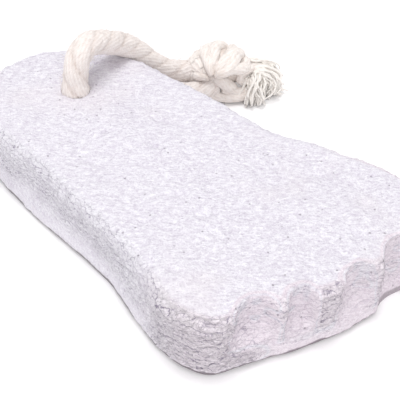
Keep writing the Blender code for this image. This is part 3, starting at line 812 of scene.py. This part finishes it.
rib_width = ((0.75 + 1.15 * np.sin(meridian)**0.8)
             * rib_rng.uniform(0.88, 1.15, (len(RIB_TURNS), 1)))
rib_angle = np.linspace(0, 2 * math.pi, BUNDLE_SEGMENTS, endpoint=False)
rib_run = meridian[:, None] * 7.0
rib_shape, rib_depth = bundle_section(rib_run, rib_angle, 9, 40.0)
rib_radius = rib_width[..., None] * rib_shape
# Painted shade in the grooves between yarns and towards the place where the ribs are drawn
# together.
rib_shade = 0.45 * rib_depth + 0.40 * ease(0.7, 0.12, meridian)[:, None] + 0 * rib_radius

STRANDS = [  # each: control points, half width in the middle, number of yarns
    ([(39.6, 26.6, 7.6), (41.0, 23.3, 8.1), (42.1, 20.3, 7.2), (43.6, 18.4, 5.4),
      (45.8, 18.2, 3.9)], 1.9, 10),
    ([(38.6, 23.6, 3.4), (40.6, 20.4, 2.5), (43.2, 17.7, 2.0), (46.4, 15.6, 1.9),
      (49.5, 14.6, 2.2), (52.2, 14.6, 3.2), (53.9, 15.4, 4.7)], 1.45, 8),
    ([(42.2, 19.4, 4.2), (45.0, 17.2, 3.5), (48.0, 15.6, 3.4), (50.9, 15.0, 3.9),
      (53.1, 15.3, 5.1), (54.3, 16.4, 6.6), (54.2, 17.9, 7.6)], 1.15, 6),
    ([(55.0, 17.6, 7.0), (53.4, 17.3, 7.9), (51.4, 17.1, 8.2), (49.3, 17.3, 8.2),
      (47.7, 17.6, 7.5), (47.5, 17.4, 6.2), (48.7, 16.6, 5.4), (50.6, 16.3, 5.3),
      (52.6, 16.6, 5.8)], 1.25, 7),
]
strand_parts = []
for controls, width, yarns in STRANDS:
    line = spread_evenly(smooth_curve(controls), STRAND_ROWS - 1, measured=3)[None]
    share = np.linspace(-1, 1, STRAND_ROWS)[:, None]
    run = np.linalg.norm(np.diff(line[0], axis=0), axis=1).sum() * (share + 1) / 2
    shape, depth = bundle_section(run, rib_angle, yarns, 34.0)
    # Painted shade, a little all over the strands and more in their grooves.
    strand_parts.append((line, (width * (1 - 0.25 * share**4) * shape)[None],
                         0.12 + 0.5 * depth[None]))

core_share = np.linspace(-0.985, 0.985, CORE_ROWS)
core_line = (np.outer(core_share, (1, 0, 0)) * KNOT_HALF * 0.86) @ KNOT_AXES + KNOT_CENTRE
core_radius = ((CORE_RADIUS * np.sqrt(1 - core_share**2))[None, :, None]
               + np.zeros(BUNDLE_SEGMENTS))
# The core, hidden under the ribs, is half in painted shade.
knot = put_yarns("knot", [(rib_paths, rib_radius, rib_shade),
                          loose_fibres(rib_paths, rib_radius, LOOSE_FIBRES, 6),
                          (core_line[None], core_radius, 0.5 + 0 * core_radius)] + strand_parts,
                 cotton_material("cotton_knot", KNOT_PALE, KNOT_BROWN_AND_SHADE), "rope_knot")


# ---- The frayed ends --------------------------------------------------------------------------
# Past the knot both ends have come apart into their yarns. One spreads in a pale brush beyond
# the knot and the other droops to the ground on the toes' side.
# The second colour serves the cotton's browner fibres and its painted shade.
FRAY_PALE, FRAY_BROWN_AND_SHADE = (0.975, 0.94, 0.90), (0.87, 0.78, 0.70)
YARN_ROWS, YARN_SEGMENTS = 20, 8
fray_cotton = cotton_material("cotton_fray", FRAY_PALE, FRAY_BROWN_AND_SHADE)


def frayed(name, locks, count, node, seed):
    """A tuft of yarns, count to each hanging lock. Each yarn follows its lock's curve for most
    of its length, moved aside by a random amount that grows towards the end, and wavers by two
    sines; none goes below the ground."""
    rng = np.random.RandomState(seed)
    paths = []
    for lock in locks:
        curve = spread_evenly(smooth_curve(lock), YARN_ROWS - 1, measured=3)
        share = np.linspace(0, 1, YARN_ROWS)[None, :, None]
        reach = rng.uniform(0.72, 1.05, (count, 1)) * share[..., 0] * (YARN_ROWS - 1)
        path = np.stack([np.interp(reach, np.arange(YARN_ROWS), column)
                         for column in curve.T], axis=-1)
        path += (reach - YARN_ROWS + 1).clip(0)[..., None] * (curve[-1] - curve[-2])
        aside, bow, curl = (rng.normal(size=(count, 1, 3)) * size for size in (0.62, 0.4, 0.22))
        paths.append(path + aside * (0.8 + 0.8 * share) + bow * np.sin(math.pi * share)
                     + curl * np.sin(rng.uniform(7, 11, (count, 1, 1)) * share))
    path = np.concatenate(paths)
    path[..., 2] = np.maximum(path[..., 2], 0.45 + 0.4 * rng.uniform(size=(len(path), 1)))
    radius = (rng.uniform(0.26, 0.42, (len(path), 1, 1)) * (1 - 0.35 * share**2)
              + np.zeros(YARN_SEGMENTS))
    # Painted shade, darker towards the root of each yarn.
    return put_yarns(name, [(path, radius, 0.15 * (1 - share) + 0 * radius)], fray_cotton, node)


SIDE_LOCKS = [
    [(52.9, 16.2, 7.6), (55, 14.1, 6.8), (56.1, 11.6, 5), (55.1, 11, 2.6), (53.3, 12, 1.2)],
    [(51.7, 15.8, 7), (53.4, 14.2, 6), (54.1, 12.3, 4.2), (53.8, 11.4, 2)],
    [(54, 19.4, 8.3), (55.8, 17.6, 8), (57.9, 15.7, 6.6), (59.3, 13.2, 4.4)],
    [(53.4, 17.7, 4.6), (55.1, 15.3, 3.6), (56.3, 12.7, 2.2), (57.9, 10.8, 1)],
]
FRONT_LOCKS = [
    [(53.5, 15.9, 7.5), (50.1, 14.2, 5.8), (47, 13.3, 2.6), (45.4, 12.3, 0.8)],
    [(49.9, 15, 6.2), (49.2, 13.1, 4.4), (49.3, 11.2, 2), (48.9, 10.2, 0.8)],
    [(54.7, 17.4, 5.5), (51.8, 14.6, 4.8), (49.9, 13.1, 3), (48.4, 12.4, 1)],
]
side_tuft = frayed("frayed_end_side", SIDE_LOCKS, count=60, node="rope_tail_side", seed=5)
front_tuft = frayed("frayed_end_front", FRONT_LOCKS, count=34, node="rope_tail_front", seed=8)


# ---- Ground and light -------------------------------------------------------------------------
# A white sheet, white daylight from all round, one lamp overhead towards the heel and a wider,
# weaker one low on the little toe's side.
ground_finish, ground_wire = material_tree("white_ground")
finish_material(ground_wire, (0.97, 0.962, 0.968, 1), 0.9)
ground = put_mesh("ground", np.array([(-1, -1, 0), (1, -1, 0), (1, 1, 0), (-1, 1, 0)]) * 4000.0,
                  np.array([[0, 1, 2, 3]]), ground_finish)

sky = bpy.data.worlds.new("daylight")
sky.use_nodes = True
sky.node_tree.nodes["Background"].inputs["Color"].default_value = (1.0, 0.995, 1.0, 1)
sky.node_tree.nodes["Background"].inputs["Strength"].default_value = 0.77
bpy.context.scene.world = sky
bpy.context.scene.view_settings.view_transform = "Standard"

for lamp_name, place, width, power in (("overhead", (0.02, 0.10, 0.82), 0.40, 3.1),
                                       ("front", (-0.50, -0.45, 0.40), 0.60, 1.9)):
    lamp_data = bpy.data.lights.new(lamp_name, "AREA")
    lamp_data.shape, lamp_data.size, lamp_data.energy = "DISK", width, power
    lamp = bpy.data.objects.new(lamp_name, lamp_data)
    bpy.context.scene.collection.objects.link(lamp)
    lamp.location = place
    lamp.rotation_euler = (-Vector(place)).to_track_quat("-Z", "Y").to_euler()
